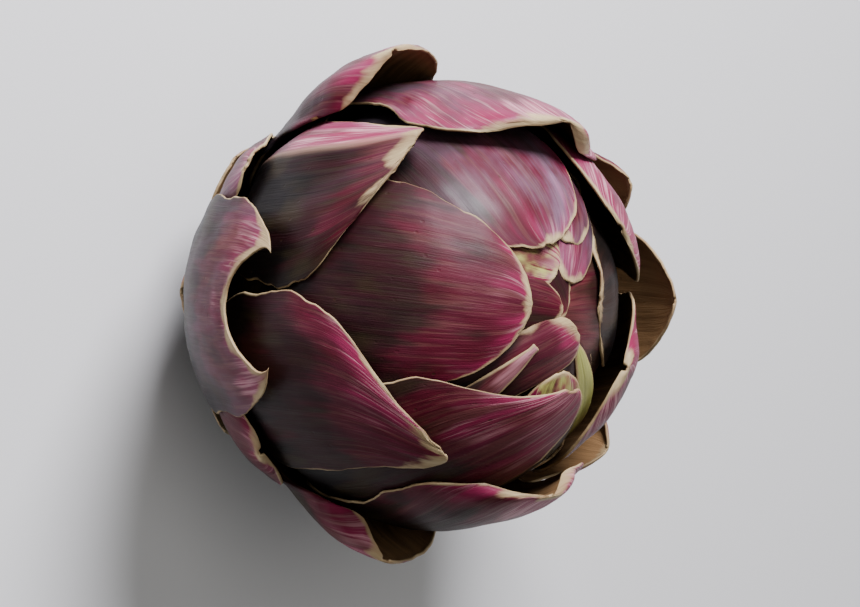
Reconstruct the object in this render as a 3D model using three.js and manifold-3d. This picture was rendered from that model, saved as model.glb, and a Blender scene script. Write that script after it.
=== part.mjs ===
// A globe artichoke head, standing on the cut face of its short stem.
// Millimetres and degrees, +Z up along the head's axis, origin in the middle of the cut face.
// The bracts lie on nested shells round the middle of the head. A shell is named by its radius.
import * as THREE from 'three';
import { mergeVertices } from 'three/addons/utils/BufferGeometryUtils.js';
import Module from 'manifold-3d';

const wasm = await Module();
wasm.setup();

// The head
const CENTRE_HEIGHT = 53;        // middle of the head above the cut face
const OUTER_SHELL = 48;          // a shell of the outer bracts
const OUTER_DEPTH = 43.8;        // how far that shell reaches below the middle
const DEPTH_STEP_INSIDE = 2.3;   // less depth for each millimetre of shell further in
const DEPTH_STEP_OUTSIDE = 1.3;  // more depth for each millimetre of shell further out
const LEAST_DEPTH = 5;
const ROUND_SHELL = 38.5;        // the bud inside this shell is taller than it is wide
const TALLER_STEP = 0.02;        // how much taller, for each millimetre of shell

// Where the bracts are attached: the foot's angle from the bottom of the head
const FIRST_SHELL = 52.5;
const FIRST_FOOT = 14.5;
const LAST_SHELL = 30;
const LAST_FOOT = 56;
const FOOT_POWER = 1.2;

// The stem and the heart that carries the bracts
const STEM_RADIUS = 10.5;
const STEM_EDGE = 0.8;           // soft edge round the cut face
const HEART_CLEARANCE = 1.5;     // from a foot's mid-surface to the heart
const HEART_TOP_FOOT = 36.2;     // angle of the heart's top edge, under the inner bud
const HEART_SIDES = 28;
const HEART_STEPS = 7;
const PIECE_GAP = 0.3;

// The core of the inner bud, that its small bracts grow from
const CORE_SINK = 0.4;
const CORE_RADIUS = 30.6;
const CORE_SIDES = 20;
const CORE_STEPS = 9;

// How thick a bract is
const BLADE_THICKNESS = 0.95;
const FOOT_EXTRA = 0.9;
const FOOT_FADE = 0.16;
const TIP_HALF_WIDTH = 0.7;

const PURPLE = 0x6a2a46;
const PALE_PURPLE = 0x84506a;
const BUD_PINK = 0x9a5a66;
const STEM_GREEN = 0x8f9a5c;

// What a bract has unless its row says otherwise.
//   azimuth    side of the head it stands on      shell     radius of its shell
//   tip        angle of the tip from the apex     width     half its width where it is widest
//   flare      how far the tip stands out         widest    where it is widest, as a share of its length
//   base       width of the foot, as a share      blunt     2 a round end, 5 a square one
//   point      share of a pointed end             notch     depth of a notch in the end, as a share
//   cup, roll  how far the blade and its margins turn inward, and how close to the margin the roll stays
//   uneven     above 0 the margin at the greater azimuth rolls more
//   twist      how far the tip leans round the head
//   floor      shell that the margins don't roll in past, its own unless given
//   drift      how far the tip leans sideways, as an angle
//   skew       above 0 the end is wider towards the greater azimuth
//   hump       height of a hump in the end, and humpAt its place across
//   wave       height of the waves in the margins
const PLAIN_BRACT = {
  azimuth: 0, shell: 42, tip: 20, width: 20, flare: 0, flarePower: 2, widest: 0.55, base: 0.42, blunt: 2.4,
  point: 0, notch: 0, notchWidth: 0.3, cup: 10, roll: 30, rollPower: 2.5, uneven: 0, twist: 0,
  twistPower: 4, floor: null, drift: 0, skew: 0, hump: 0, humpAt: 0, wave: 0.35, waves: 3, phase: 0,
  scallop: 0.02, columns: 10, rows: 11,
};

// The small bracts of the inner bud, from the middle outwards
const BUD_BRACTS = [
  { azimuth: 95, shell: 34, tip: 0, width: 14 },
  { azimuth: 20, shell: 34.6, tip: 6, width: 12 },
  { azimuth: 160, shell: 36, tip: 10, width: 8, blunt: 3 },
  { azimuth: 240, shell: 37.2, tip: 7, drift: -11, width: 8, blunt: 7 },
  { azimuth: 264, shell: 38, tip: 0, drift: -1, width: 10, blunt: 2 },
  { azimuth: 310, shell: 38.6, tip: -2, drift: 8, width: 6.5, blunt: 10 },
  { azimuth: 167, shell: 37.8, tip: 21, width: 8, blunt: 5 },
  { azimuth: 4, shell: 38.4, tip: 17, width: 10, blunt: 3 },
];
const BUD_GRID = { cup: 0, widest: 0.7, wave: 0.2, columns: 6, rows: 6 };

// The large bracts, from the closed middle of the head out to its foot
const BRACTS = [
  { azimuth: 103, shell: 35.6, tip: 19, width: 16, cup: 0, roll: 10, blunt: 4, widest: 0.65, hump: 1.8,
    humpAt: 0.3, wave: 0.5 },
  { azimuth: 198, shell: 39.5, tip: 19, width: 20.5, cup: 0, roll: 8, blunt: 3, widest: 0.62 },
  { azimuth: 140, shell: 38, tip: 66, width: 12.5, cup: 0, roll: 20, columns: 6, rows: 7 },
  { azimuth: 38, shell: 38.8, tip: 66, width: 13, cup: 0, roll: 20, columns: 6, rows: 7 },
  { azimuth: 266, shell: 41, tip: 13, width: 21.5, cup: 0, roll: 8, blunt: 2.1, widest: 0.62 },
  { azimuth: 325, shell: 42.4, tip: 20, width: 18.5, cup: 0, roll: 14, twist: 44, twistPower: 12,
    blunt: 3.5, widest: 0.65 },
  { azimuth: 239, shell: 43.2, tip: 59, width: 18.5, flare: 1, cup: 0, roll: 20, twist: -18, twistPower: 8,
    blunt: 6, widest: 0.7, skew: 0.48, wave: 0.5 },
  { azimuth: 66, shell: 42.2, tip: 36, width: 25, cup: 0, roll: 60, rollPower: 1.8, blunt: 3.5, widest: 0.6,
    floor: 40.6, wave: 0.7 },
  { azimuth: 174, shell: 43.6, tip: 48, width: 30, flare: 5.5, flarePower: 6, cup: 0, roll: 75,
    rollPower: 1.6, uneven: -0.3, blunt: 8, widest: 0.62, wave: 0.7 },
  { azimuth: 296, shell: 44.6, tip: 48, width: 19, flare: 0.5, cup: 0, roll: 14, twist: 28, twistPower: 12,
    blunt: 4.5, point: 0.15, widest: 0.7, skew: -0.2, wave: 0.5 },
  { azimuth: 133, shell: 42.2, tip: 37, width: 20, cup: 0, roll: 20, blunt: 5, widest: 0.6, floor: 41.8,
    wave: 0.7 },
  { azimuth: 9, shell: 44, tip: 47, width: 30, flare: 4.5, flarePower: 6, cup: 0, roll: 75, rollPower: 1.6,
    uneven: 0.3, blunt: 8, widest: 0.6, wave: 0.7 },
  { azimuth: 204, shell: 46, tip: 80, width: 22.5, flare: 7.4, flarePower: 3, roll: 70, blunt: 3.2,
    uneven: 0.5, floor: 45.6, wave: 0.7 },
  { azimuth: 344, shell: 45.9, tip: 80, width: 24, flare: 7.1, flarePower: 3, roll: 70, rollPower: 2,
    blunt: 3.2, uneven: -0.7, floor: 45.9, wave: 0.7 },
  { azimuth: 240, shell: 47, tip: 99, width: 16, flare: 2.2, widest: 0.5, blunt: 1.7, roll: 60, uneven: 0.3,
    wave: 0.6 },
  { azimuth: 306, shell: 47.1, tip: 93, width: 18, flare: 1.8, roll: 60, uneven: -0.3, twist: 3,
    twistPower: 2, wave: 0.6 },
  { azimuth: 126, shell: 46.6, tip: 72, width: 18, flare: 3, roll: 60, floor: 47, wave: 0.5 },
  { azimuth: 57, shell: 46.6, tip: 80, width: 18, flare: 5.6, roll: 60, floor: 48.2, wave: 0.5 },
  { azimuth: 95, shell: 48.6, tip: 64, width: 16, flare: 3.2, cup: 0, roll: 8, blunt: 3, wave: 0.5 },
  { azimuth: 274, shell: 49, tip: 75, width: 22, flare: 1.8, roll: 16, blunt: 4.5, notch: 0.17,
    notchWidth: 0.75, widest: 0.6, wave: 0.8 },
  { azimuth: 226, shell: 51, tip: 132, width: 12, base: 0.3, roll: 25, blunt: 2, columns: 6, rows: 6 },
  { azimuth: 318, shell: 50.9, tip: 132, width: 12, base: 0.3, roll: 25, blunt: 2, columns: 6, rows: 6 },
  { azimuth: 22, shell: 50.6, tip: 119, width: 14, base: 0.3, roll: 25, blunt: 2, columns: 6, rows: 6 },
  { azimuth: 76, shell: 51.2, tip: 122, width: 13, base: 0.3, roll: 25, blunt: 2, columns: 6, rows: 6 },
  { azimuth: 130, shell: 50.8, tip: 119, width: 14, base: 0.3, roll: 25, blunt: 2, columns: 6, rows: 6 },
  { azimuth: 177, shell: 50.4, tip: 123, width: 12, base: 0.3, roll: 25, blunt: 2, columns: 6, rows: 6 },
  { azimuth: 272, shell: 52.2, tip: 140, width: 11, base: 0.3, roll: 25, blunt: 2, columns: 6, rows: 6 },
];

const TURN = Math.PI * 2;
const radians = (degrees) => degrees * Math.PI / 180;
const clamp01 = (value) => Math.min(Math.max(value, 0), 1);

// How far a shell reaches below the middle of the head
function depthBelow(shell) {
  const step = shell < OUTER_SHELL ? DEPTH_STEP_INSIDE : DEPTH_STEP_OUTSIDE;
  return Math.max(OUTER_DEPTH + (shell - OUTER_SHELL) * step, LEAST_DEPTH);
}

const heightFactor = (shell) => 1 + TALLER_STEP * Math.max(0, ROUND_SHELL - shell);

// Angle of a shell's foot from the bottom of the head, and the shell whose foot is at an angle
function footAngle(shell) {
  const inwards = (FIRST_SHELL - shell) / (FIRST_SHELL - LAST_SHELL);
  return FIRST_FOOT + (LAST_FOOT - FIRST_FOOT) * inwards ** FOOT_POWER;
}

function shellAtFoot(angle) {
  const inwards = ((angle - FIRST_FOOT) / (LAST_FOOT - FIRST_FOOT)) ** (1 / FOOT_POWER);
  return FIRST_SHELL - (FIRST_SHELL - LAST_SHELL) * inwards;
}

// Width from the middle line to the margin on u's side, at v, the share of the blade's length
function halfWidth(bract, u, v) {
  const rise = Math.sin(clamp01(v / bract.widest) * Math.PI / 2) ** 1.2;
  const t = clamp01((v - bract.widest) / (1 - bract.widest));
  const round = (1 - t ** bract.blunt) ** (1 / 1.7);
  const share = v < bract.widest
    ? bract.base + (1 - bract.base) * rise
    : round * (1 - bract.point) + bract.point * (1 - t) ** 1.25;
  const scallop = 1 + bract.scallop * Math.sin(TURN * bract.waves * 1.7 * v + bract.phase);
  const skew = 1 + Math.sign(u) * bract.skew * v ** 2;
  return Math.max(bract.width * share * scallop * skew, TIP_HALF_WIDTH);
}

// Place across the blade, and inwards from its middle line, of a point at u
function crossSection(bract, u, fade) {
  const steps = 16;
  const reach = Math.abs(u);
  const roll = bract.roll * (1 + Math.sign(u) * bract.uneven);
  let across = 0;
  let inward = 0;
  for (let i = 0; i < steps; i += 1) {
    const s = reach * (i + 0.5) / steps;
    const turn = radians(bract.cup * s + roll * s ** bract.rollPower) * fade;
    across += Math.cos(turn) * reach / steps;
    inward += Math.sin(turn) * reach / steps;
  }
  return { across: Math.sign(u) * across, inward };
}

// Mid-surface of a blade: u runs from -1 to 1 across it, v from 0 at the foot to 1 at the tip
function bladePoint(bract, u, along) {
  const notch = bract.notch * Math.exp(-((u / bract.notchWidth) ** 2)) * along ** 3;
  const v = along * (1 - notch);
  const foot = radians(footAngle(bract.shell));
  const polar = foot + (radians(180 - bract.tip) - foot) * v;
  const azimuth = radians(bract.azimuth + bract.twist * v ** bract.twistPower);
  const fade = clamp01(v * 1.6) ** 1.2;

  const width = halfWidth(bract, u, v);
  const section = crossSection(bract, u, fade);
  const wave = Math.sin(TURN * bract.waves * v + bract.phase + 1.3 * Math.sign(u));
  let radius = bract.shell + bract.flare * v ** bract.flarePower - section.inward * width;
  radius += bract.wave * Math.abs(u) ** 2.5 * v ** 2 * wave;
  radius += bract.hump * Math.exp(-(((u - bract.humpAt) / 0.35) ** 2)) * v ** 6;
  const floor = bract.floor ?? bract.shell;
  radius = restOn(radius, bract.shell + (floor - bract.shell) * fade);

  const angle = section.across * width / bract.shell + radians(bract.drift) * v ** 5;
  const middle = new THREE.Vector3(
    Math.sin(polar) * Math.cos(azimuth), Math.sin(polar) * Math.sin(azimuth), -Math.cos(polar));
  const sideways = new THREE.Vector3(-Math.sin(azimuth), Math.cos(azimuth), 0);
  const direction = middle.multiplyScalar(Math.cos(angle)).addScaledVector(sideways, Math.sin(angle));
  const down = depthBelow(bract.shell) + radius - bract.shell;
  const up = radius * heightFactor(bract.shell);
  return new THREE.Vector3(
    direction.x * radius, direction.y * radius, direction.z * (direction.z < 0 ? down : up));
}

// A radius held smoothly outside a floor
function restOn(radius, floor) {
  const softness = 0.4;
  const above = (radius - floor) / softness;
  return above > 30 ? radius : floor + softness * Math.log1p(Math.exp(above));
}

function bladeNormal(bract, u, v) {
  const step = 1e-3;
  const u0 = Math.max(u - step, -1);
  const u1 = Math.min(u + step, 1);
  const v0 = Math.max(v - step, 0);
  const v1 = Math.min(v + step, 1);
  const across = bladePoint(bract, u1, v).sub(bladePoint(bract, u0, v));
  const along = bladePoint(bract, u, v1).sub(bladePoint(bract, u, v0));
  return across.cross(along).normalize();
}

// A closed blade: two faces the blade's thickness apart, joined round the rim
function bladeGeometry(row) {
  const bract = { ...PLAIN_BRACT, ...row };
  const { columns, rows } = bract;
  const positions = [];
  for (const side of [1, -1]) {
    for (let j = 0; j <= rows; j += 1) {
      const v = 1 - (1 - j / rows) ** 1.6;
      const thickness = BLADE_THICKNESS + FOOT_EXTRA * Math.exp(-v / FOOT_FADE);
      for (let i = 0; i <= columns; i += 1) {
        const s = 2 * i / columns - 1;
        const u = Math.sign(s) * Math.abs(s) ** 0.8;
        const point = bladePoint(bract, u, v);
        point.addScaledVector(bladeNormal(bract, u, Math.min(v, 0.999)), side * thickness / 2);
        positions.push(point.x, point.y, point.z + CENTRE_HEIGHT);
      }
    }
  }

  const index = [];
  const inner = (columns + 1) * (rows + 1);
  const at = (i, j) => j * (columns + 1) + i;
  for (let j = 0; j < rows; j += 1) {
    for (let i = 0; i < columns; i += 1) {
      const [a, b, c, d] = [at(i, j), at(i + 1, j), at(i + 1, j + 1), at(i, j + 1)];
      index.push(a, b, c, a, c, d);
      index.push(inner + a, inner + c, inner + b, inner + a, inner + d, inner + c);
    }
  }
  const rim = [];
  for (let i = 0; i < columns; i += 1) rim.push(at(i, 0));
  for (let j = 0; j < rows; j += 1) rim.push(at(columns, j));
  for (let i = columns; i > 0; i -= 1) rim.push(at(i, rows));
  for (let j = rows; j > 0; j -= 1) rim.push(at(0, j));
  rim.forEach((a, k) => {
    const b = rim[(k + 1) % rim.length];
    index.push(b, a, inner + a, b, inner + a, inner + b);
  });

  const geometry = new THREE.BufferGeometry();
  geometry.setAttribute('position', new THREE.Float32BufferAttribute(positions, 3));
  geometry.setIndex(index);
  return geometry;
}

// A turned solid from profile points that start and end on the axis
function turned(profile, sides) {
  const points = profile.map(([radius, height]) => new THREE.Vector2(radius, height));
  return new THREE.LatheGeometry(points, sides).rotateX(Math.PI / 2);
}

// Radius and height of the surface that the feet stand on
function footingPoint(angle, shell) {
  return [
    shell * Math.sin(radians(angle)),
    CENTRE_HEIGHT - depthBelow(shell) * Math.cos(radians(angle)),
  ];
}

function stemGeometry() {
  const profile = [[0, 0], [STEM_RADIUS - STEM_EDGE, 0], [STEM_RADIUS, STEM_EDGE]];
  for (let k = 0; k <= HEART_STEPS; k += 1) {
    const angle = FIRST_FOOT + (HEART_TOP_FOOT - FIRST_FOOT) * k / HEART_STEPS;
    const [radius, height] = footingPoint(angle, shellAtFoot(angle));
    profile.push([radius - HEART_CLEARANCE * Math.sin(radians(angle)),
      height + HEART_CLEARANCE * Math.cos(radians(angle))]);
  }
  const top = profile[profile.length - 1][1];
  profile.push([0, top]);
  return turned(profile, HEART_SIDES);
}

function coreGeometry() {
  const [, footHeight] = footingPoint(HEART_TOP_FOOT, shellAtFoot(HEART_TOP_FOOT));
  const floor = footHeight + HEART_CLEARANCE * Math.cos(radians(HEART_TOP_FOOT)) + PIECE_GAP;
  const profile = [[0, floor]];
  for (let k = 0; k <= 3; k += 1) {
    const angle = HEART_TOP_FOOT + (LAST_FOOT - HEART_TOP_FOOT) * k / 3;
    const [radius, height] = footingPoint(angle, shellAtFoot(angle) - CORE_SINK);
    profile.push([radius, Math.max(height, floor)]);
  }
  for (let k = 0; k < CORE_STEPS; k += 1) {
    const angle = radians(80 + 100 * k / CORE_STEPS);
    const tall = angle > Math.PI / 2 ? heightFactor(CORE_RADIUS) : 0.2;
    profile.push([CORE_RADIUS * Math.sin(angle), CENTRE_HEIGHT - CORE_RADIUS * Math.cos(angle) * tall]);
  }
  profile.push([0, CENTRE_HEIGHT + CORE_RADIUS * heightFactor(CORE_RADIUS)]);
  return turned(profile, CORE_SIDES);
}

function toSolid(geometry) {
  const bare = geometry.clone();
  bare.deleteAttribute('normal');
  bare.deleteAttribute('uv');
  const merged = mergeVertices(bare, 1e-4);
  return new wasm.Manifold(new wasm.Mesh({
    numProp: 3,
    vertProperties: new Float32Array(merged.attributes.position.array),
    triVerts: new Uint32Array(merged.index.array),
  }));
}

function toGeometry(solid) {
  const { vertProperties, triVerts } = solid.getMesh();
  const geometry = new THREE.BufferGeometry();
  geometry.setAttribute('position', new THREE.Float32BufferAttribute(vertProperties, 3));
  geometry.setIndex(Array.from(triVerts));
  return geometry;
}

// The biggest connected skin of a solid, which leaves out the skins of closed hollows inside it
function largestPart(solid) {
  return solid.decompose().reduce((best, part) => (part.volume() > best.volume() ? part : best));
}

// The inner bud: its small bracts grown together with a core that they stand out of
function innerBudGeometry() {
  let bud = toSolid(coreGeometry());
  for (const row of BUD_BRACTS) {
    bud = bud.add(toSolid(bladeGeometry({ ...BUD_GRID, ...row })));
  }
  return toGeometry(largestPart(bud));
}

function finish(color, roughness) {
  return new THREE.MeshStandardMaterial({ color, roughness, metalness: 0 });
}

const head = new THREE.Group();

function addPiece(name, geometry, material) {
  geometry.computeVertexNormals();
  const mesh = new THREE.Mesh(geometry, material);
  mesh.name = name;
  head.add(mesh);
}

addPiece('stem', stemGeometry(), finish(STEM_GREEN, 0.7));
addPiece('inner_bud', innerBudGeometry(), finish(BUD_PINK, 0.5));
BRACTS.forEach((row, k) => {
  const number = String(k + 1).padStart(2, '0');
  const color = row.roll > 30 ? PALE_PURPLE : PURPLE;
  addPiece(`bract_${number}`, bladeGeometry({ phase: k * 2.4, ...row }), finish(color, 0.5));
});

export default head;
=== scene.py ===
import math
import bpy
from mathutils import Matrix, Vector


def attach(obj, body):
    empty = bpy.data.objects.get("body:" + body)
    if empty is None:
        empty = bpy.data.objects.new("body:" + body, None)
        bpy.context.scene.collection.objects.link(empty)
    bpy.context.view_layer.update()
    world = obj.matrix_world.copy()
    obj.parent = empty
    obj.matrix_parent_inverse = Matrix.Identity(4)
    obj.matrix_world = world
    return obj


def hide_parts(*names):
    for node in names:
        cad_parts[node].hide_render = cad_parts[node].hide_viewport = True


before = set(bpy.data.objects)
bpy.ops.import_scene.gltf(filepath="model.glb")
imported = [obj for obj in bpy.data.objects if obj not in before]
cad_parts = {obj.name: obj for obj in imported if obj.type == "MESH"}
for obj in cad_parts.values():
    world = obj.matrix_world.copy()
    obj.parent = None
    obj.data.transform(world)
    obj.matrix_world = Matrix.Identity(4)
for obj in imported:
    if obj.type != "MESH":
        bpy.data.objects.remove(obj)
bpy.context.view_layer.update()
mm = 0.001


class Field:  # one number of a node tree, so that a shape or a pattern is written as a formula
    def __init__(self, tree, socket):
        self.tree = tree
        self.socket = socket

    def math(self, operation, *others):
        node = self.tree.nodes.new("ShaderNodeMath")
        node.operation = operation
        for place, value in enumerate((self, *others)):
            feed(self.tree, value, node.inputs[place])
        return Field(self.tree, node.outputs[0])

    def __add__(self, other):
        return self.math("ADD", other)

    def __sub__(self, other):
        return self.math("SUBTRACT", other)

    def __rsub__(self, other):
        return self.math("MULTIPLY", -1.0) + other

    def __mul__(self, other):
        return self.math("MULTIPLY", other)

    def __truediv__(self, other):
        return self.math("DIVIDE", other)

    def __pow__(self, other):
        return self.math("POWER", other)

    __radd__ = __add__
    __rmul__ = __mul__

    def clamped(self):
        return self.math("MAXIMUM", 0.0).math("MINIMUM", 1.0)

    def step(self, low, high):  # a soft step from 0 at low to 1 at high
        node = self.tree.nodes.new("ShaderNodeMapRange")
        node.interpolation_type = "SMOOTHSTEP"
        for name, value in (("Value", self), ("From Min", low), ("From Max", high)):
            feed(self.tree, value, node.inputs[name])
        return Field(self.tree, node.outputs[0])


def feed(tree, value, socket):
    if isinstance(value, Field):
        tree.links.new(value.socket, socket)
    elif isinstance(value, bpy.types.NodeSocket):
        tree.links.new(value, socket)
    else:
        socket.default_value = value


def vector(tree, x, y, z):
    node = tree.nodes.new("ShaderNodeCombineXYZ")
    for place, value in enumerate((x, y, z)):
        feed(tree, value, node.inputs[place])
    return node.outputs[0]


def noise(tree, place, scale, detail=2.0, roughness=0.5, distortion=0.0):
    node = tree.nodes.new("ShaderNodeTexNoise")
    feed(tree, place, node.inputs["Vector"])
    node.inputs["Scale"].default_value = scale
    node.inputs["Detail"].default_value = detail
    node.inputs["Roughness"].default_value = roughness
    node.inputs["Distortion"].default_value = distortion
    return Field(tree, node.outputs["Fac" if "Fac" in node.outputs else "Factor"])


def startTree(name, inputs):
    tree = bpy.data.node_groups.new(name, "GeometryNodeTree")
    tree.interface.new_socket(name="Geometry", in_out="INPUT", socket_type="NodeSocketGeometry")
    tree.interface.new_socket(name="Geometry", in_out="OUTPUT", socket_type="NodeSocketGeometry")
    for label, value in inputs.items():
        socket = tree.interface.new_socket(name=label, in_out="INPUT", socket_type="NodeSocketFloat")
        socket.default_value = value
    tree.interface.new_socket(name="Material", in_out="INPUT", socket_type="NodeSocketMaterial")
    start = tree.nodes.new("NodeGroupInput")
    return tree, start, {label: Field(tree, start.outputs[label]) for label in inputs}


def attribute(tree, name):
    node = tree.nodes.new("GeometryNodeInputNamedAttribute")
    node.data_type = "FLOAT"
    node.inputs["Name"].default_value = name
    return Field(tree, node.outputs["Attribute"])


def store(tree, geometry, name, value):
    node = tree.nodes.new("GeometryNodeStoreNamedAttribute")
    node.data_type = "FLOAT"
    node.domain = "POINT"
    node.inputs["Name"].default_value = name
    tree.links.new(geometry, node.inputs["Geometry"])
    feed(tree, value, node.inputs["Value"])
    return node.outputs["Geometry"]


def place(tree, geometry, position=None, offset=None):
    node = tree.nodes.new("GeometryNodeSetPosition")
    tree.links.new(geometry, node.inputs["Geometry"])
    if position is not None:
        tree.links.new(position, node.inputs["Position"])
    if offset is not None:
        tree.links.new(offset, node.inputs["Offset"])
    return node.outputs["Geometry"]


def endTree(tree, start, geometry):
    real = tree.nodes.new("GeometryNodeRealizeInstances")
    paint = tree.nodes.new("GeometryNodeSetMaterial")
    end = tree.nodes.new("NodeGroupOutput")
    tree.links.new(geometry, real.inputs["Geometry"])
    tree.links.new(real.outputs["Geometry"], paint.inputs["Geometry"])
    tree.links.new(start.outputs["Material"], paint.inputs["Material"])
    tree.links.new(paint.outputs["Geometry"], end.inputs["Geometry"])


def addObject(name, data):
    item = bpy.data.objects.new(name, data)
    bpy.context.scene.collection.objects.link(item)
    return item


def makePiece(name, blank, tree, values, material):  # runs a tree on a blank and keeps the plain mesh
    piece = addObject(name, blank)
    modifier = piece.modifiers.new("Shape", "NODES")
    modifier.node_group = tree
    for item in tree.interface.items_tree:
        if item.in_out == "INPUT" and item.name in values:
            modifier[item.identifier] = float(values[item.name])
        if item.in_out == "INPUT" and item.name == "Material":
            modifier[item.identifier] = material
    graph = bpy.context.evaluated_depsgraph_get()
    shaped = bpy.data.meshes.new_from_object(piece.evaluated_get(graph))
    piece.modifiers.clear()
    shaped.name = name
    shaped.materials.clear()
    shaped.materials.append(material)
    shaped.shade_smooth()
    piece.data = shaped
    return piece


def startMaterial(name):
    material = bpy.data.materials.new(name)
    material.use_nodes = True
    return material, material.node_tree, material.node_tree.nodes["Principled BSDF"]


def blend(tree, share, first, second):
    node = tree.nodes.new("ShaderNodeMix")
    node.data_type = "RGBA"
    feed(tree, share, node.inputs[0])
    feed(tree, first, node.inputs[6])
    feed(tree, second, node.inputs[7])
    return node.outputs[2]


def read(tree, name):  # an attribute of the piece
    node = tree.nodes.new("ShaderNodeAttribute")
    node.attribute_name = name
    return Field(tree, node.outputs["Fac"])


def split(tree, place):  # x, y and z of a place in mm
    node = tree.nodes.new("ShaderNodeSeparateXYZ")
    tree.links.new(place, node.inputs[0])
    return [Field(tree, node.outputs[k]) / mm for k in range(3)]


def addBump(tree, shader, height, strength, depth=0.4):
    bump = tree.nodes.new("ShaderNodeBump")
    bump.inputs["Strength"].default_value = strength
    bump.inputs["Distance"].default_value = depth * mm
    feed(tree, height, bump.inputs["Height"])
    tree.links.new(bump.outputs["Normal"], shader.inputs["Normal"])


# camera, floor and light, in mm and degrees
view = {
    "centre": (0.0, 0.0, 53.0),   # middle of the head, which the camera looks at
    "elevation": 50.0,
    "roll": -4.0,                 # the head's axis lies level in the picture, turned by this
    "distance": 500.0,
    "lens": 104.65,
    "sensor": 36.0,
}


def makeCamera(view):
    lift = math.radians(view["elevation"])
    roll = math.radians(view["roll"])
    back = Vector((0, -math.cos(lift), math.sin(lift)))
    axis = Vector((0, math.sin(lift), math.cos(lift)))
    side = Vector((1, 0, 0))
    right = math.cos(roll) * axis + math.sin(roll) * side
    up = math.sin(roll) * axis - math.cos(roll) * side
    data = bpy.data.cameras.new("camera")
    data.lens = view["lens"]
    data.sensor_width = view["sensor"]
    data.clip_start = 0.01
    data.dof.use_dof = False
    camera = addObject("camera", data)
    centre = Vector(view["centre"]) * mm
    spot = centre + back * view["distance"] * mm
    camera.matrix_world = Matrix.Translation(spot) @ Matrix((right, up, back)).transposed().to_4x4()
    bpy.context.scene.camera = camera


studio = {
    "floorSize": 3000.0,
    "floorColour": (0.80, 0.80, 0.79, 1),
    "floorRoughness": 0.85,
    "worldColour": (0.93, 0.95, 1.0, 1),
    "worldStrength": 0.10,
    "lamps": {
        "key": {"towards": (-0.80, -0.12, 0.60), "distance": 620.0, "size": 300.0, "power": 10.8,
                "colour": (0.94, 0.93, 1.0)},
        "fill": {"towards": (-0.10, -0.35, 0.95), "distance": 900.0, "size": 600.0, "power": 1.8,
                 "colour": (1.0, 0.98, 0.96)},
        "back": {"towards": (0.35, 0.90, 0.12), "distance": 900.0, "size": 600.0, "power": 1.8,
                 "colour": (1.0, 0.98, 0.96)},
    },
}


def makeStudio(studio):
    half = studio["floorSize"] * mm / 2
    mesh = bpy.data.meshes.new("floor")
    corners = [(-half, -half, 0), (half, -half, 0), (half, half, 0), (-half, half, 0)]
    mesh.from_pydata(corners, [], [(0, 1, 2, 3)])
    floor = addObject("floor", mesh)
    material, _, shader = startMaterial("floorPaint")
    shader.inputs["Base Color"].default_value = studio["floorColour"]
    shader.inputs["Roughness"].default_value = studio["floorRoughness"]
    mesh.materials.append(material)
    centre = Vector(view["centre"]) * mm
    for name, lamp in studio["lamps"].items():
        data = bpy.data.lights.new(name, "AREA")
        data.shape = "DISK"
        data.size = lamp["size"] * mm
        data.energy = lamp["power"]
        data.color = lamp["colour"]
        light = addObject(name, data)
        towards = Vector(lamp["towards"]).normalized()
        light.location = centre + towards * lamp["distance"] * mm
        light.rotation_euler = towards.to_track_quat("Z", "Y").to_euler()
    world = bpy.data.worlds.new("studio")
    world.use_nodes = True
    world.node_tree.nodes["Background"].inputs["Color"].default_value = studio["worldColour"]
    world.node_tree.nodes["Background"].inputs["Strength"].default_value = studio["worldStrength"]
    bpy.context.scene.world = world


makeCamera(view)
makeStudio(studio)
print("camera, floor and light")


# the bract's colours
bractPaint = {
    "ground": [(0.0055, 0.0036, 0.0027, 1), (0.027, 0.010, 0.007, 1),    # from the closed foot to the tip; the near-black foot colours are partly painted shade where bracts overlap
               (0.115, 0.027, 0.028, 1), (0.540, 0.240, 0.280, 1)],
    "streak": [(0.0030, 0.0016, 0.0015, 1), (0.026, 0.003, 0.005, 1),
               (0.080, 0.003, 0.013, 1), (0.230, 0.011, 0.056, 1)],
    "tan": (0.480, 0.300, 0.210, 1),
    "olive": (0.034, 0.024, 0.009, 1),
    "greenTip": (0.420, 0.420, 0.110, 1),
    "marginBrown": (0.200, 0.095, 0.045, 1),
    "marginCream": (0.600, 0.480, 0.260, 1),
    "bloomAndSheen": (0.420, 0.350, 0.500, 1),           # the waxy film, partly a painted lavender sheen
    "innerFoot": (0.008, 0.005, 0.003, 1),
    "innerMiddle": (0.080, 0.040, 0.014, 1),
    "innerTip": (0.300, 0.170, 0.075, 1),
    "speck": (0.040, 0.018, 0.008, 1),
}
heights = [0.52, 0.72, 0.87, 1.03]               # where each colour of ground and streak stands
streaks = {                                      # how often each pattern changes in a mm across and along
    "fine": (1.25, 0.055),
    "hair": (3.4, 0.11),
    "broad": (0.30, 0.045),
    "patch": (0.075, 0.06),
    "moss": (0.16, 0.08),
    "ripe": (0.35, 0.25),
    "cloud": (0.12, 0.06),
    "ragged": (0.55, 0.55),
    "fringe": (0.18, 0.10),
    "veins": (0.9, 0.03),
    "specks": (0.30, 0.24),
    "grain": (6.0, 2.0),
}


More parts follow.
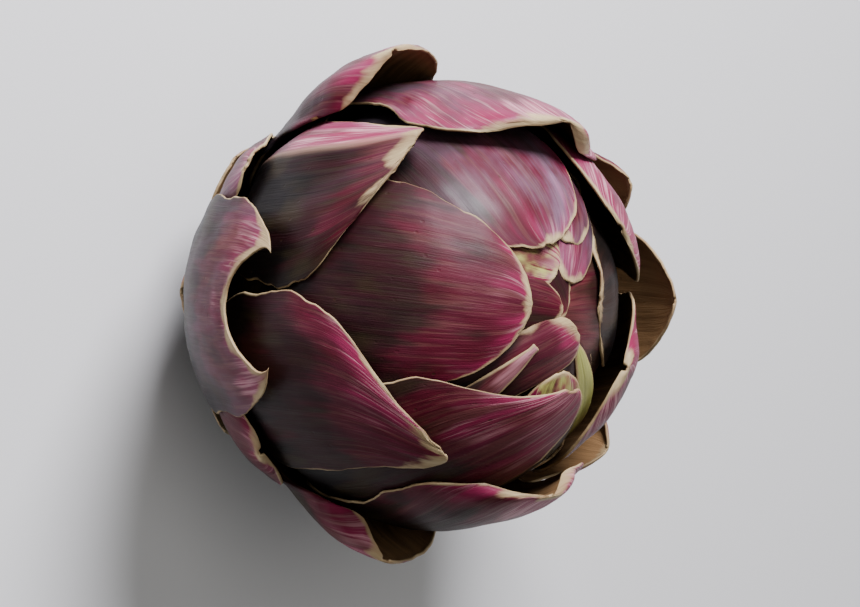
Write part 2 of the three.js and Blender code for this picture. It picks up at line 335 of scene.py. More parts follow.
def makeBractMaterial(name, paint):
    material, tree, shader = startMaterial(name)
    across, along, face = read(tree, "across"), read(tree, "along"), read(tree, "face")
    wide, long, seed = read(tree, "wide"), read(tree, "long"), read(tree, "seed")
    edge, blush, toneAndShade = read(tree, "edge"), read(tree, "blush"), read(tree, "toneAndShade")
    waxAndSheen, green = read(tree, "waxAndSheen"), read(tree, "green")
    cream = read(tree, "cream") * (1.0 + across * read(tree, "lean"))
    tilt, facet, crest = read(tree, "tilt"), read(tree, "facet"), read(tree, "crest")
    outer = face.step(-0.3, 0.1)

    # streaks run from the foot to the tip, and partly close up with the blade
    lane = read(tree, "lateral") * 0.75 + across * wide * 0.3
    run = along * long

    def pattern(kind, shift):
        sideways, lengthways = streaks[kind]
        return vector(tree, lane * sideways, run * lengthways, seed + shift)

    fine = noise(tree, pattern("fine", 0.0), 1.0, 3.0, 0.6, 0.3)
    hair = noise(tree, pattern("hair", 7.0), 1.0, 2.0, 0.6)
    broad = noise(tree, pattern("broad", 3.0), 1.0, 2.0, 0.5, 0.4)
    patch = noise(tree, pattern("patch", 5.0), 1.0, 2.0, 0.5)
    # painted light: this lightness runs dark towards the foot as painted shade, and the darkness tint, the
    # side lean and the facet above a keel paint shade and light onto each bract
    height = along + (patch - 0.5) * 0.5 + (broad - 0.5) * 0.35 - toneAndShade - across * tilt + facet * 0.3
    mask = (fine * 0.60 + hair * 0.30 + broad * 0.40 + blush).step(0.60, 0.73)

    def ladder(colours):
        colour = colours[0]
        for k in range(1, len(colours)):
            colour = blend(tree, height.step(heights[k - 1], heights[k]), colour, colours[k])
        return colour

    colour = blend(tree, mask, ladder(paint["ground"]), ladder(paint["streak"]))
    pale = (hair * 0.6 + fine * 0.4 - mask * 0.08).step(0.56, 0.70) * height.step(0.62, 1.0)
    colour = blend(tree, (pale * 0.6).clamped(), colour, paint["tan"])
    mossy = noise(tree, pattern("moss", 23.0), 1.0, 2.0, 0.5)
    mossy = mossy.step(0.50, 0.68) * (1.0 - height.step(0.60, 0.85)) * 0.6
    colour = blend(tree, mossy.clamped(), colour, paint["olive"])
    ripe = noise(tree, pattern("ripe", 29.0), 1.0, 2.0, 0.5)
    fresh = (ripe + green * 1.5 - 0.85 + mask * -0.15).step(0.0, 0.4) * green.step(0.0, 0.2)
    leafGreen = blend(tree, height.step(0.6, 0.95), paint["olive"], paint["greenTip"])
    colour = blend(tree, fresh.clamped(), colour, leafGreen)

    # the waxy film lies in cloudy patches and follows the streaks; it is partly a painted sheen, leant
    # towards the lit side
    cloud = noise(tree, pattern("cloud", 11.0), 1.0, 3.0, 0.6)
    filmAndSheen = (cloud * 1.2 + hair * 0.3 - 0.25).step(0.25, 0.8) * waxAndSheen
    filmAndSheen = filmAndSheen * (0.35 + height.step(0.55, 0.9) * 0.65)
    filmAndSheen = filmAndSheen * (1.0 - across * tilt * 10.0).math("MAXIMUM", 0.0)
    colour = blend(tree, filmAndSheen.clamped(), colour, paint["bloomAndSheen"])

    # painted highlight: a folded bract is painted pale along its lit ridge
    ridgeHighlight = (crest.step(0.75, 1.0) * height.step(0.4, 0.8) * 0.8).clamped()
    colour = blend(tree, ridgeHighlight, colour, paint["tan"])

    # margin: a thin pale line at the sides, broader and ragged at the end
    ragged = noise(tree, pattern("ragged", 13.0), 1.0, 2.0, 0.6)
    fringe = noise(tree, pattern("fringe", 31.0), 1.0, 1.0, 0.5)
    reach = 0.22 + (ragged * 1.6 + fine * 1.2) * along.step(0.84, 1.0) * cream * fringe.step(0.25, 0.7)
    reach = reach + 0.25 * fringe.step(0.45, 0.7) * along.step(0.3, 0.6)
    rim = 1.0 - edge.step(reach * 0.35, reach * 1.25 + 0.1)
    marginColour = blend(tree, (fringe * 1.2 + ragged * 0.5 - 0.35).clamped(), paint["marginBrown"],
                         paint["marginCream"])
    colour = blend(tree, (rim * along.step(0.2, 0.55)).clamped(), colour, marginColour)

    # inner face: near-black foot, partly painted shade where it lies under the next bract, tan tip
    veins = noise(tree, pattern("veins", 17.0), 1.0, 3.0, 0.6)
    innerHeight = along + (veins - 0.5) * 0.35
    inner = blend(tree, innerHeight.step(0.30, 0.75), paint["innerFoot"], paint["innerMiddle"])
    inner = blend(tree, innerHeight.step(0.62, 1.0), inner, paint["innerTip"])
    inner = blend(tree, rim * 0.8, inner, marginColour)
    colour = blend(tree, outer, inner, colour)

    # small dark specks
    dots = tree.nodes.new("ShaderNodeTexVoronoi")
    feed(tree, pattern("specks", 0.0), dots.inputs["Vector"])
    dots.inputs["Scale"].default_value = 1.0
    dot = 1.0 - Field(tree, dots.outputs["Distance"]).step(0.05, 0.12)
    colour = blend(tree, (dot * broad.step(0.5, 0.6) * 0.6).clamped(), colour, paint["speck"])
    tree.links.new(colour, shader.inputs["Base Color"])

    rough = 0.44 + fine * 0.16 + (1.0 - outer) * 0.2 + filmAndSheen * 0.10
    feed(tree, rough, shader.inputs["Roughness"])
    shader.inputs["Specular IOR Level"].default_value = 0.16
    feed(tree, (waxAndSheen * 0.6 + 0.05) * outer, shader.inputs["Coat Weight"])
    shader.inputs["Coat Roughness"].default_value = 0.27
    grain = noise(tree, pattern("grain", 19.0), 1.0, 2.0, 0.6)
    addBump(tree, shader, fine * 0.5 + hair * 0.35 + grain * 0.12 + dot * -0.2, 0.55)
    return material


bractMaterial = makeBractMaterial("bractSkin", bractPaint)
print("bract material")


# the head that the bracts lie on: nested shells round its middle, as in the solids
head = {
    "centreHeight": 53.0,
    "outerShell": 48.0,
    "outerDepth": 43.8,
    "depthInside": 2.3,
    "depthOutside": 1.3,
    "leastDepth": 5.0,
    "roundShell": 38.5,
    "tallerStep": 0.02,
    "firstShell": 52.5,
    "firstFoot": 14.5,
    "lastShell": 30.0,
    "lastFoot": 56.0,
    "footPower": 1.2,
    "stemRadius": 10.5,
    "stemEdge": 0.8,
    "clearance": 1.5,
    "heartTopFoot": 36.2,
}


def depthBelow(shell):
    step = head["depthInside"] if shell < head["outerShell"] else head["depthOutside"]
    return max(head["outerDepth"] + (shell - head["outerShell"]) * step, head["leastDepth"])


def heightFactor(shell):
    return 1 + head["tallerStep"] * max(0.0, head["roundShell"] - shell)


def footAngle(shell):
    inwards = (head["firstShell"] - shell) / (head["firstShell"] - head["lastShell"])
    return head["firstFoot"] + (head["lastFoot"] - head["firstFoot"]) * max(inwards, 0) ** head["footPower"]


# one bract as a formula over a blank blade, in mm and degrees; its width is measured to one side
plainBract = {
    "azimuth": 0.0, "shell": 42.0, "tip": 20.0, "width": 20.0, "flare": 0.0, "flarePower": 2.0,
    "widest": 0.55, "base": 0.42, "blunt": 2.4, "point": 0.0, "notch": 0.0, "notchWidth": 0.3,
    "cup": 10.0, "roll": 30.0, "rollPower": 2.5, "uneven": 0.0, "twist": 0.0, "twistPower": 4.0,
    "drift": 0.0, "floor": 0.0, "skew": 0.0, "hump": 0.0, "humpAt": 0.0,
    "wave": 0.35, "waves": 3.0, "phase": 0.0, "scallop": 0.02,    # waves of the margins
    "thickness": 1.3, "rimThickness": 0.55, "footExtra": 0.9,
    "keel": 0.0, "keelAt": 0.0, "keelWidth": 0.25,                # a ridge along a folded blade
    "swell": 0.5, "flute": 0.18, "crinkle": 0.5, "ragged": 0.08, "lobes": 0.9,
    "depth": 0.0, "tall": 1.0, "foot": 30.0, "seed": 0.0,
    # tints: share of streaks, darkness (partly painted shade), film (partly a painted sheen), leaf green,
    # pale end, how the end leans, and a painted side light that makes one side lighter and leans the film
    "blush": 0.05, "toneAndShade": 0.0, "waxAndSheen": 0.02, "green": 0.0, "cream": 1.0, "lean": 0.0, "tilt": 0.0,
}
bladeGrid = {
    "columns": 64, "rows": 60,
    "budColumns": 48, "budRows": 48,
    "rimBunching": 1.36,       # columns lie closer towards the margins
    "tipBunching": 1.7,        # rows lie closer towards the tip
    "sectionSteps": 10,
    "tipHalfWidth": 0.7,
}
unevenness = {                 # sizes in mm of what varies over a blade: across, along
    "swelling": (9.0, 13.0),
    "fluting": (2.2, 40.0),
    "frill": (3.2, 3.6),
    "torn": 5.0,
    "lobe": 3.4,
}


def blankBlade(columns, rows):  # a flat closed envelope: outer face, inner face, one shared rim
    grid = {}
    across, along, face = [], [], []

    def addPoint(side, i, j):
        rim = i in (0, columns) or j in (0, rows)
        key = (0 if rim else side, i, j)
        if key not in grid:
            grid[key] = len(across)
            s = 2 * i / columns - 1
            across.append(math.sin(s * bladeGrid["rimBunching"]) / math.sin(bladeGrid["rimBunching"]))
            along.append(1 - (1 - j / rows) ** bladeGrid["tipBunching"])
            face.append(key[0])
        return grid[key]

    faces = []
    for side in (1, -1):
        for j in range(rows):
            for i in range(columns):
                ring = [addPoint(side, i, j), addPoint(side, i + 1, j),
                        addPoint(side, i + 1, j + 1), addPoint(side, i, j + 1)]
                faces.append(ring if side == 1 else ring[::-1])
    mesh = bpy.data.meshes.new("blank")
    mesh.from_pydata([(u, v, 0) for u, v in zip(across, along)], [], faces)
    for name, values in (("across", across), ("along", along), ("face", face)):
        mesh.attributes.new(name, "FLOAT", "POINT").data.foreach_set("value", values)
    return mesh


def bractTree():
    tree, start, give = startTree("Bract", plainBract)
    u, along, face = attribute(tree, "across"), attribute(tree, "along"), attribute(tree, "face")
    reach = u.math("ABSOLUTE")
    side = u.math("SIGN")
    degree = math.pi / 180

    notch = give["notch"] * ((u / give["notchWidth"]) ** 2.0 * -1.0).math("EXPONENT") * along ** 3.0
    v = along * (1.0 - notch)
    foot = give["foot"] * degree
    polar = foot + ((180.0 - give["tip"]) * degree - foot) * v
    azimuth = (give["azimuth"] + give["twist"] * v ** give["twistPower"]) * degree
    fade = (v * 1.6).clamped() ** 1.2
    length = ((180.0 - give["tip"]) * degree - foot) * give["shell"]

    # outline: rises from the foot, then a rounded or squared end, with an uneven margin
    rise = ((v / give["widest"]).clamped() * (math.pi / 2)).math("SINE") ** 1.2
    left = ((v - give["widest"]) / (1.0 - give["widest"])).clamped()
    rounded = (1.0 - left ** give["blunt"]).math("MAXIMUM", 0.0) ** (1 / 1.7)
    pointed = rounded * (1.0 - give["point"]) + give["point"] * (1.0 - left) ** 1.25
    share = (give["base"] + (1.0 - give["base"]) * rise).math("MINIMUM", pointed)
    scallop = (v * give["waves"] * (1.7 * math.tau) + give["phase"]).math("SINE") * give["scallop"] + 1.0
    seed = give["seed"]
    torn = noise(tree, vector(tree, v * length / unevenness["torn"], side * 3.0, seed), 1.0, 3.0, 0.6) - 0.5
    half = give["width"] * share * scallop * (1.0 + torn * give["ragged"] * 2.0 * v)
    half = (half * (1.0 + side * give["skew"] * v ** 2.0)).math("MAXIMUM", bladeGrid["tipHalfWidth"])

    # section: the blade and its margins turn inward
    roll = give["roll"] * (1.0 + side * give["uneven"])
    steps = bladeGrid["sectionSteps"]
    over, inward = None, None
    for k in range(steps):
        s = reach * ((k + 0.5) / steps)
        turn = (give["cup"] * s + roll * s ** give["rollPower"]) * fade * degree
        cosine, sine = turn.math("COSINE"), turn.math("SINE")
        over = cosine if over is None else over + cosine
        inward = sine if inward is None else inward + sine
    over = over * reach * side / steps
    inward = inward * reach / steps

    # distance from the middle, with waves, a keel, soft swelling and fluting
    lateral = over * half
    waving = (v * give["waves"] * math.tau + give["phase"] + lateral / give["width"] * 1.3).math("SINE")
    run = v * length

    def uneven(kind, shift):
        sideways, lengthways = unevenness[kind]
        return vector(tree, lateral / sideways, run / lengthways, seed + shift)

    sideways, lengthways = unevenness["frill"]
    frill = noise(tree, vector(tree, run / lengthways, lateral / sideways, seed + 4.0), 1.0, 2.0, 0.5) - 0.5
    swelling = noise(tree, uneven("swelling", 8.0), 1.0, 1.0, 0.4) - 0.35
    fluting = noise(tree, uneven("fluting", 12.0), 1.0, 1.0, 0.5) - 0.5
    ridge = ((((lateral / give["width"] - give["keelAt"]) ** 2.0 + 0.001) ** 0.5)
             / give["keelWidth"] * -1.0).math("EXPONENT")
    radius = give["shell"] + give["flare"] * v ** give["flarePower"] - inward * half
    radius = radius + give["wave"] * reach ** 2.5 * v ** 2.0 * waving
    swollen = (((lateral / give["width"] - give["humpAt"]) / 0.35) ** 2.0 * -1.0).math("EXPONENT")
    radius = radius + give["hump"] * swollen * v ** 6.0
    radius = radius + give["crinkle"] * frill * 2.0 * reach ** 4.0 * v
    floor = give["shell"] + (give["floor"] - give["shell"]) * fade
    above = (radius - floor) / 0.4
    radius = floor + (above.math("MINIMUM", 30.0).math("EXPONENT") + 1.0).math("LOGARITHM", math.e) * 0.4
    inside = 1.0 - reach ** 6.0
    softly = give["swell"] * swelling * 2.0 + give["flute"] * fluting * 2.0
    radius = radius + softly * inside * v.step(0.1, 0.5)
    radius = radius + give["keel"] * ridge * v.step(0.2, 0.8)
    # the side above the keel, which the material paints lighter as a painted lit facet
    folded = give["keel"].step(0.0, 0.5)
    below = (lateral / give["width"]).step(give["keelAt"] - 0.05, give["keelAt"] + 0.05)
    facet = (1.0 - below) * folded

    # on the shell, flatter below the middle and taller above it
    lobe = noise(tree, vector(tree, lateral / unevenness["lobe"], seed, 0.0), 1.0, 2.0, 0.6) - 0.5
    polar = polar + lobe * 2.0 * give["lobes"] / give["shell"] * v ** 12.0
    angle = lateral / give["shell"] + give["drift"] * degree * v ** 5.0
    level = angle.math("COSINE") * polar.math("SINE")
    sideways = angle.math("SINE")
    x = level * azimuth.math("COSINE") - sideways * azimuth.math("SINE")
    y = level * azimuth.math("SINE") + sideways * azimuth.math("COSINE")
    z = angle.math("COSINE") * polar.math("COSINE") * -1.0
    lower = z.math("LESS_THAN", 0.0)
    reachZ = lower * (give["depth"] + radius - give["shell"]) + (1.0 - lower) * radius * give["tall"]
    point = vector(tree, x * radius * mm, y * radius * mm, (z * reachZ + head["centreHeight"]) * mm)

    geometry = place(tree, start.outputs["Geometry"], position=point)
    margin = ((1.0 - reach) * half).math("MINIMUM", (1.0 - along) * length)
    thick = give["rimThickness"] + (give["thickness"] - give["rimThickness"]) * margin.step(0.0, 9.0)
    thick = thick + give["footExtra"] * (v / -0.16).math("EXPONENT")
    normal = tree.nodes.new("GeometryNodeInputNormal")
    scale = tree.nodes.new("ShaderNodeVectorMath")
    scale.operation = "SCALE"
    tree.links.new(normal.outputs["Normal"], scale.inputs[0])
    feed(tree, thick * face.math("ABSOLUTE") * (0.5 * mm), scale.inputs["Scale"])
    geometry = place(tree, geometry, offset=scale.outputs["Vector"])
    for name, value in (("edge", margin), ("wide", give["width"]), ("long", length), ("seed", seed),
                        ("blush", give["blush"]), ("toneAndShade", give["toneAndShade"]), ("waxAndSheen", give["waxAndSheen"]),
                        ("green", give["green"]), ("cream", give["cream"]), ("lateral", lateral),
                        ("lean", give["lean"]), ("tilt", give["tilt"]),
                        ("facet", facet), ("crest", ridge * folded)):
        geometry = store(tree, geometry, name, value)
    endTree(tree, start, geometry)
    return tree


# the darkness tint paints some bracts darker as painted shade, as the first one deep in the hollow, and
# others lighter where light falls
bracts = [
    {"azimuth": 103, "shell": 35.6, "tip": 19, "width": 16, "cup": 0, "roll": 10, "blunt": 4, "widest": 0.65,
     "hump": 1.8, "humpAt": 0.3, "wave": 0.5, "blush": -0.12, "toneAndShade": 0.27, "cream": 1.5},
    {"azimuth": 198, "shell": 39.5, "tip": 19, "width": 20.5, "cup": 0, "roll": 8, "blunt": 3, "widest": 0.62,
     "blush": 0.06, "toneAndShade": -0.01, "tilt": 0.1, "waxAndSheen": 0.2},
    {"azimuth": 140, "shell": 38, "tip": 66, "width": 12.5, "cup": 0, "roll": 20},
    {"azimuth": 38, "shell": 38.8, "tip": 66, "width": 13, "cup": 0, "roll": 20},
    {"azimuth": 266, "shell": 41, "tip": 13, "width": 21.5, "cup": 0, "roll": 8, "blunt": 2.1, "widest": 0.62,
     "blush": 0.06, "cream": 1.4},
    {"azimuth": 325, "shell": 42.4, "tip": 20, "width": 18.5, "cup": 0, "roll": 14, "twist": 44,
     "twistPower": 12, "blunt": 3.5, "widest": 0.65, "blush": 0.02, "toneAndShade": 0.0, "cream": 0.8},
    {"azimuth": 239, "shell": 43.2, "tip": 59, "width": 18.5, "flare": 1, "cup": 0, "roll": 20, "twist": -18,
     "twistPower": 8, "blunt": 6, "widest": 0.7, "skew": 0.48, "wave": 0.5,
     "keel": 3, "keelAt": -0.12, "keelWidth": 0.25, "toneAndShade": 0.11, "tilt": 0.12, "waxAndSheen": 0.06, "cream": 4.5,
     "lean": -1},
    {"azimuth": 66, "shell": 42.2, "tip": 36, "width": 25, "cup": 0, "roll": 60, "rollPower": 1.8,
     "blunt": 3.5, "widest": 0.6, "floor": 40.6, "wave": 0.7, "toneAndShade": -0.05},
    {"azimuth": 174, "shell": 43.6, "tip": 48, "width": 30, "flare": 5.5, "flarePower": 6, "cup": 0,
     "roll": 75, "rollPower": 1.6, "uneven": -0.3, "blunt": 8, "widest": 0.62, "wave": 0.7, "toneAndShade": -0.10,
     "waxAndSheen": 0.12, "cream": 1.6},
    {"azimuth": 296, "shell": 44.6, "tip": 48, "width": 19, "flare": 0.5, "cup": 0, "roll": 14, "twist": 28,
     "twistPower": 12, "blunt": 4.5, "point": 0.15, "widest": 0.7, "skew": -0.2, "wave": 0.5, "blush": 0.08,
     "toneAndShade": 0.0, "waxAndSheen": 0.03, "cream": 2.5},
    {"azimuth": 133, "shell": 42.2, "tip": 37, "width": 20, "cup": 0, "roll": 20, "blunt": 5, "widest": 0.6,
     "floor": 41.8, "wave": 0.7, "toneAndShade": -0.12, "waxAndSheen": 0.1},
    {"azimuth": 9, "shell": 44, "tip": 47, "width": 30, "flare": 4.5, "flarePower": 6, "cup": 0, "roll": 75,
     "rollPower": 1.6, "uneven": 0.3, "blunt": 8, "widest": 0.6, "wave": 0.7},
    {"azimuth": 204, "shell": 46, "tip": 80, "width": 22.5, "flare": 7.4, "flarePower": 3, "roll": 70,
     "blunt": 3.2, "uneven": 0.5, "floor": 45.6, "wave": 0.7, "waxAndSheen": 0.1, "cream": 1.5},
    {"azimuth": 344, "shell": 45.9, "tip": 80, "width": 24, "flare": 7.1, "flarePower": 3, "roll": 70,
     "rollPower": 2, "blunt": 3.2, "uneven": -0.7, "floor": 45.9, "wave": 0.7},
    {"azimuth": 240, "shell": 47, "tip": 99, "width": 16, "flare": 2.2, "widest": 0.5, "blunt": 1.7,
     "roll": 60, "uneven": 0.3, "wave": 0.6, "toneAndShade": -0.05, "waxAndSheen": 0.2},
    {"azimuth": 306, "shell": 47.1, "tip": 93, "width": 18, "flare": 1.8, "roll": 60, "uneven": -0.3,
     "twist": 3, "twistPower": 2, "wave": 0.6},
    {"azimuth": 126, "shell": 46.6, "tip": 72, "width": 18, "flare": 3, "roll": 60, "floor": 47, "wave": 0.5},
    {"azimuth": 57, "shell": 46.6, "tip": 80, "width": 18, "flare": 5.6, "roll": 60, "floor": 48.2,
     "wave": 0.5},
    {"azimuth": 95, "shell": 48.6, "tip": 64, "width": 16, "flare": 3.2, "cup": 0, "roll": 8, "blunt": 3,
     "wave": 0.5},
    {"azimuth": 274, "shell": 49, "tip": 75, "width": 22, "flare": 1.8, "roll": 16, "blunt": 4.5,
     "notch": 0.17, "notchWidth": 0.75, "widest": 0.6, "wave": 0.8, "toneAndShade": -0.02, "waxAndSheen": 0.12,
     "cream": 3.2},
    {"azimuth": 226, "shell": 51, "tip": 132, "width": 12, "base": 0.3, "roll": 25, "blunt": 2},
    {"azimuth": 318, "shell": 50.9, "tip": 132, "width": 12, "base": 0.3, "roll": 25, "blunt": 2},
    {"azimuth": 22, "shell": 50.6, "tip": 119, "width": 14, "base": 0.3, "roll": 25, "blunt": 2},
    {"azimuth": 76, "shell": 51.2, "tip": 122, "width": 13, "base": 0.3, "roll": 25, "blunt": 2},
    {"azimuth": 130, "shell": 50.8, "tip": 119, "width": 14, "base": 0.3, "roll": 25, "blunt": 2},
    {"azimuth": 177, "shell": 50.4, "tip": 123, "width": 12, "base": 0.3, "roll": 25, "blunt": 2},
    {"azimuth": 272, "shell": 52.2, "tip": 140, "width": 11, "base": 0.3, "roll": 25, "blunt": 2},
]


def settled(row):  # a row filled up with the plain values and the ones that follow from its shell
    values = {**plainBract, **row}
    values["depth"] = depthBelow(values["shell"])
    values["tall"] = heightFactor(values["shell"])
    values["foot"] = footAngle(values["shell"])
    values["floor"] = row.get("floor", values["shell"])
    return values


variety = {"phaseStep": 2.4, "seedStep": 7.3, "budSeed": 300}    # no two bracts are alike
bladeTree = bractTree()
blank = blankBlade(bladeGrid["columns"], bladeGrid["rows"])
for number, row in enumerate(bracts, 1):
    name = f"bract_{number:02d}"
    values = settled({"phase": (number - 1) * variety["phaseStep"], "seed": number * variety["seedStep"],
                      **row})
    piece = makePiece("leaf_" + name[-2:], blank, bladeTree, values, bractMaterial)
    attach(piece, "root")
    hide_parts(name)
print("bracts:", len(bracts))


# the small bracts of the inner bud
budBracts = [
    {"azimuth": 95, "shell": 34, "tip": 0, "width": 14, "blush": -0.03, "toneAndShade": 0.1, "cream": 0.5},
    {"azimuth": 20, "shell": 34.6, "tip": 6, "width": 12, "toneAndShade": 0.2},
    {"azimuth": 160, "shell": 36, "tip": 10, "width": 8, "blunt": 3, "blush": 0.05, "waxAndSheen": 0.2},
    {"azimuth": 240, "shell": 37.2, "tip": 7, "drift": -10, "width": 8.5, "blunt": 7, "blush": -0.01,
     "green": 0.32, "toneAndShade": -0.02, "cream": 0.6},
    {"azimuth": 264, "shell": 38, "tip": 0, "drift": -1, "width": 10, "blunt": 2, "blush": 0.02,
     "toneAndShade": 0.11, "cream": 0.5},
    {"azimuth": 310, "shell": 38.6, "tip": -2, "drift": 8, "width": 6.5, "blunt": 10, "toneAndShade": 0.04,
     "cream": 1.8, "lean": -0.8},
    {"azimuth": 167, "shell": 37.8, "tip": 21, "width": 8, "blunt": 5, "waxAndSheen": 0.2, "cream": 1.2},
    {"azimuth": 42, "shell": 37, "tip": 12, "width": 3.4, "blunt": 1.6, "green": 1, "cream": 0.2},
    {"azimuth": 10, "shell": 38.4, "tip": 17, "width": 11, "blunt": 3, "toneAndShade": 0.1, "green": 0.4,
     "cream": 0.6},
    {"azimuth": 318, "shell": 39.6, "tip": 13, "width": 3.4, "blunt": 1.6, "blush": -0.08, "cream": 0.1},
    {"azimuth": 212, "shell": 35.3, "tip": -2, "width": 9, "blunt": 3, "blush": 0.03, "toneAndShade": 0.12,
     "cream": 0.6},
]
plainBud = {"cup": 0, "widest": 0.7, "wave": 0.2}
budBlank = blankBlade(bladeGrid["budColumns"], bladeGrid["budRows"])
for number, row in enumerate(budBracts, 1):
    values = settled({**plainBud, "phase": number * variety["phaseStep"],
                      "seed": variety["budSeed"] + number * variety["seedStep"], **row})
    piece = makePiece(f"bud_{number:02d}", budBlank, bladeTree, values, bractMaterial)
    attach(piece, "root")
print("bud bracts:", len(budBracts))


def turnedMesh(name, profile, sides):  # a closed body, turned from a profile round the head's axis
    points, faces = [], []
    for radius, height in profile:
        for k in range(sides):
            turn = math.tau * k / sides
            points.append((radius * mm * math.cos(turn), radius * mm * math.sin(turn), height * mm))
    for j in range(len(profile) - 1):
        for k in range(sides):
            a, b = j * sides + k, j * sides + (k + 1) % sides
            faces.append((a, b, b + sides, a + sides))
    low, high = len(points), len(points) + 1
    points += [(0, 0, profile[0][1] * mm), (0, 0, profile[-1][1] * mm)]
    last = (len(profile) - 1) * sides
    for k in range(sides):
        faces.append((low, (k + 1) % sides, k))
        faces.append((high, last + k, last + (k + 1) % sides))
    mesh = bpy.data.meshes.new(name)
    mesh.from_pydata(points, [], faces)
    return mesh


def footingPoint(angle):  # where the bracts' feet meet the heart
    share = (angle - head["firstFoot"]) / (head["lastFoot"] - head["firstFoot"])
    inwards = share ** (1 / head["footPower"])
    shell = head["firstShell"] - (head["firstShell"] - head["lastShell"]) * inwards
    turn = math.radians(angle)
    return shell * math.sin(turn), head["centreHeight"] - depthBelow(shell) * math.cos(turn)


def finer(profile, gap):  # a profile with more rings, so that no face is longer than the gap
    rings = [profile[0]]
    for (r0, z0), (r1, z1) in zip(profile, profile[1:]):
        steps = max(1, math.ceil(math.hypot(r1 - r0, z1 - z0) / gap))
        rings += [(r0 + (r1 - r0) * k / steps, z0 + (z1 - z0) * k / steps) for k in range(1, steps + 1)]
    return rings


stemRibs = {
    "count": 11.0,
    "height": 0.28,
    "fine": 0.12,      # the small furrows between the ribs
    "lower": 0.7,      # the ribs die out towards the cut
    "upper": 4.0,
    "seed": 4.0,
}
stemPaint = {
    "skin": (0.090, 0.110, 0.030, 1),
    "pale": (0.300, 0.270, 0.130, 1),
    "blush": (0.075, 0.018, 0.026, 1),
    "pith": (0.560, 0.480, 0.290, 1),
    "fibre": (0.230, 0.150, 0.060, 1),
    "dried": (0.110, 0.055, 0.022, 1),
    "wall": (0.180, 0.190, 0.060, 1),
}


def ribTree():
    tree, start, give = startTree("Ribs", stemRibs)
    where = tree.nodes.new("GeometryNodeInputPosition")
    x, y, z = split(tree, where.outputs["Position"])
    turn = y.math("ARCTAN2", x)
    wander = noise(tree, vector(tree, x * 0.12, y * 0.12, give["seed"]), 1.0, 1.0) - 0.5
    rib = (turn * give["count"] + wander * 2.4).math("SINE")
    furrow = noise(tree, vector(tree, x * 0.9, y * 0.9, z * 0.06 + give["seed"]), 1.0, 2.0) - 0.5
    high = z.step(give["lower"], give["upper"])
    out = (rib * give["height"] * 0.5 + furrow * 2.0 * give["fine"] - give["height"] * 0.5) * high
    away = vector(tree, x, y, 0.0)
    scale = tree.nodes.new("ShaderNodeVectorMath")
    scale.operation = "NORMALIZE"
    tree.links.new(away, scale.inputs[0])
    push = tree.nodes.new("ShaderNodeVectorMath")
    push.operation = "SCALE"
    tree.links.new(scale.outputs["Vector"], push.inputs[0])
    feed(tree, out * mm, push.inputs["Scale"])
    geometry = store(tree, start.outputs["Geometry"], "rib", rib * 0.5 + 0.5)
    geometry = place(tree, geometry, offset=push.outputs["Vector"])
    endTree(tree, start, geometry)
    return tree


def makeStemMaterial(name, paint):
    material, tree, shader = startMaterial(name)
    here = tree.nodes.new("ShaderNodeTexCoord")
    x, y, z = split(tree, here.outputs["Object"])
    out = (x * x + y * y).math("SQRT")
    rib = read(tree, "rib")

    # skin: green-tan along the ribs, with a wine blush and long fibres
    fibre = noise(tree, vector(tree, x * 2.2, y * 2.2, z * 0.15), 1.0, 3.0, 0.6)
    cloud = noise(tree, vector(tree, x * 0.16, y * 0.16, z * 0.22), 1.0, 2.0, 0.5)
    skin = blend(tree, (rib * 0.7 + fibre * 0.8 - 0.5).clamped(), paint["skin"], paint["pale"])
    skin = blend(tree, (cloud * 1.6 + fibre * 0.4 - 0.75).step(0.1, 0.5) * 0.8, skin, paint["blush"])
    skin = blend(tree, (1.0 - z.step(0.2, 2.2)) * 0.7, skin, paint["dried"])

    # cut face: pale pith, a ring of fibre ends under the skin, dried patches
    grain = noise(tree, vector(tree, x * 1.6, y * 1.6, 3.0), 1.0, 3.0, 0.6)
    ends = tree.nodes.new("ShaderNodeTexVoronoi")
    feed(tree, vector(tree, x * 0.75, y * 0.75, 0.0), ends.inputs["Vector"])
    ends.inputs["Scale"].default_value = 1.0
    end = 1.0 - Field(tree, ends.outputs["Distance"]).step(0.12, 0.34)
    cut = blend(tree, (grain * 1.4 - 0.4).clamped(), paint["pith"], paint["fibre"])
    cut = blend(tree, (end * out.step(3.5, 6.5) * 0.8).clamped(), cut, paint["dried"])
    cut = blend(tree, out.step(8.0, 8.9), cut, paint["wall"])
    isCut = 1.0 - z.step(0.02, 0.12)
    tree.links.new(blend(tree, isCut, skin, cut), shader.inputs["Base Color"])
    feed(tree, 0.62 - fibre * 0.15 + isCut * 0.2, shader.inputs["Roughness"])
    shader.inputs["Specular IOR Level"].default_value = 0.25
    addBump(tree, shader, fibre * 0.7 + grain * isCut * 0.6 - end * isCut * 0.4, 0.5)
    return material


heartPaint = {
    "deep": (0.010, 0.004, 0.004, 1),
    "wine": (0.052, 0.008, 0.016, 1),
    "olive": (0.060, 0.050, 0.018, 1),
}


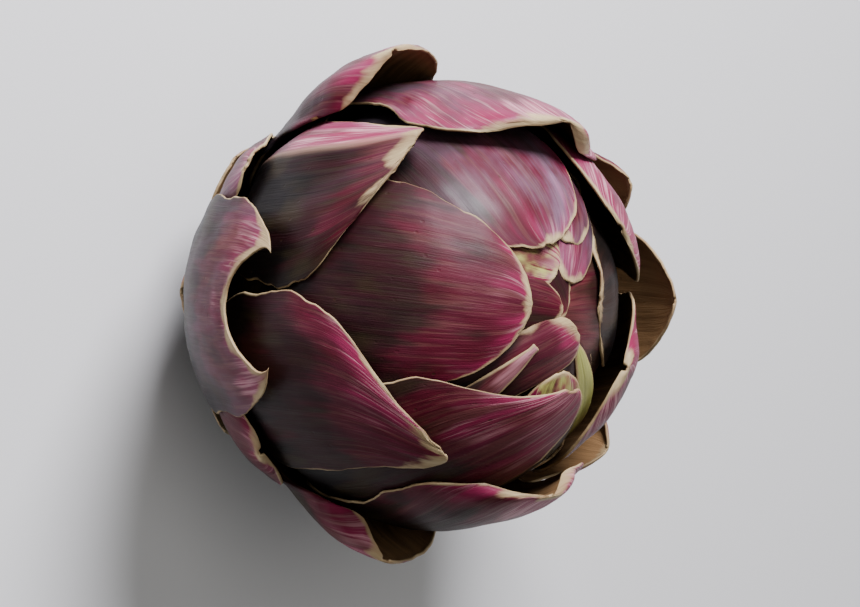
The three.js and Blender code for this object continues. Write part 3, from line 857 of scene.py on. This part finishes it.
def makeHeartMaterial(name, paint):
    material, tree, shader = startMaterial(name)
    here = tree.nodes.new("ShaderNodeTexCoord")
    x, y, z = split(tree, here.outputs["Object"])
    turn = y.math("ARCTAN2", x)
    around = vector(tree, turn.math("COSINE") * 9.0, turn.math("SINE") * 9.0, z * 0.06)
    streak = noise(tree, around, 1.0, 3.0, 0.6)
    cloud = noise(tree, vector(tree, x * 0.2, y * 0.2, z * 0.2), 1.0, 2.0, 0.5)
    colour = blend(tree, streak.step(0.42, 0.62), paint["deep"], paint["wine"])
    colour = blend(tree, (cloud.step(0.5, 0.7) * 0.6).clamped(), colour, paint["olive"])
    tree.links.new(colour, shader.inputs["Base Color"])
    feed(tree, 0.45 + streak * 0.2, shader.inputs["Roughness"])
    addBump(tree, shader, streak, 0.5)
    return material


stemProfile = [(head["stemRadius"] - head["stemEdge"], 0), (head["stemRadius"], head["stemEdge"])]
for k in range(25):
    angle = head["firstFoot"] + (head["heartTopFoot"] - head["firstFoot"]) * k / 24
    radius, height = footingPoint(angle)
    stemProfile.append((radius - head["clearance"] * math.sin(math.radians(angle)),
                        height + head["clearance"] * math.cos(math.radians(angle))))
stemBlank = turnedMesh("stem_blank", finer(stemProfile, 1.2), 240)
stem = makePiece("stem_skin", stemBlank, ribTree(), stemRibs,
                 makeStemMaterial("stemSkin", stemPaint))
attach(stem, "root")
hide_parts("stem")

heartShape = {
    "radius": 30.4,
    "inset": 0.6, "lift": 0.9,            # how far it keeps inside the feet of the bracts
    "startAngle": 80.0, "sweep": 98.0,    # the bulb above them, from below its middle to its top
    "taller": 1.15, "flatter": 0.2,
}
heartProfile = []
for k in range(7):
    angle = head["heartTopFoot"] + (head["lastFoot"] - head["heartTopFoot"]) * k / 6
    radius, height = footingPoint(angle)
    heartProfile.append((radius - heartShape["inset"], height + heartShape["lift"]))
for k in range(18):
    angle = math.radians(heartShape["startAngle"] + heartShape["sweep"] * k / 17)
    tall = heartShape["taller"] if angle > math.pi / 2 else heartShape["flatter"]
    heartProfile.append((heartShape["radius"] * math.sin(angle),
                         head["centreHeight"] - heartShape["radius"] * math.cos(angle) * tall))
heart = addObject("bud_heart", turnedMesh("bud_heart", heartProfile, 64))
heart.data.materials.append(makeHeartMaterial("heartSkin", heartPaint))
heart.data.shade_smooth()
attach(heart, "root")
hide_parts("inner_bud")
print("stem and heart")
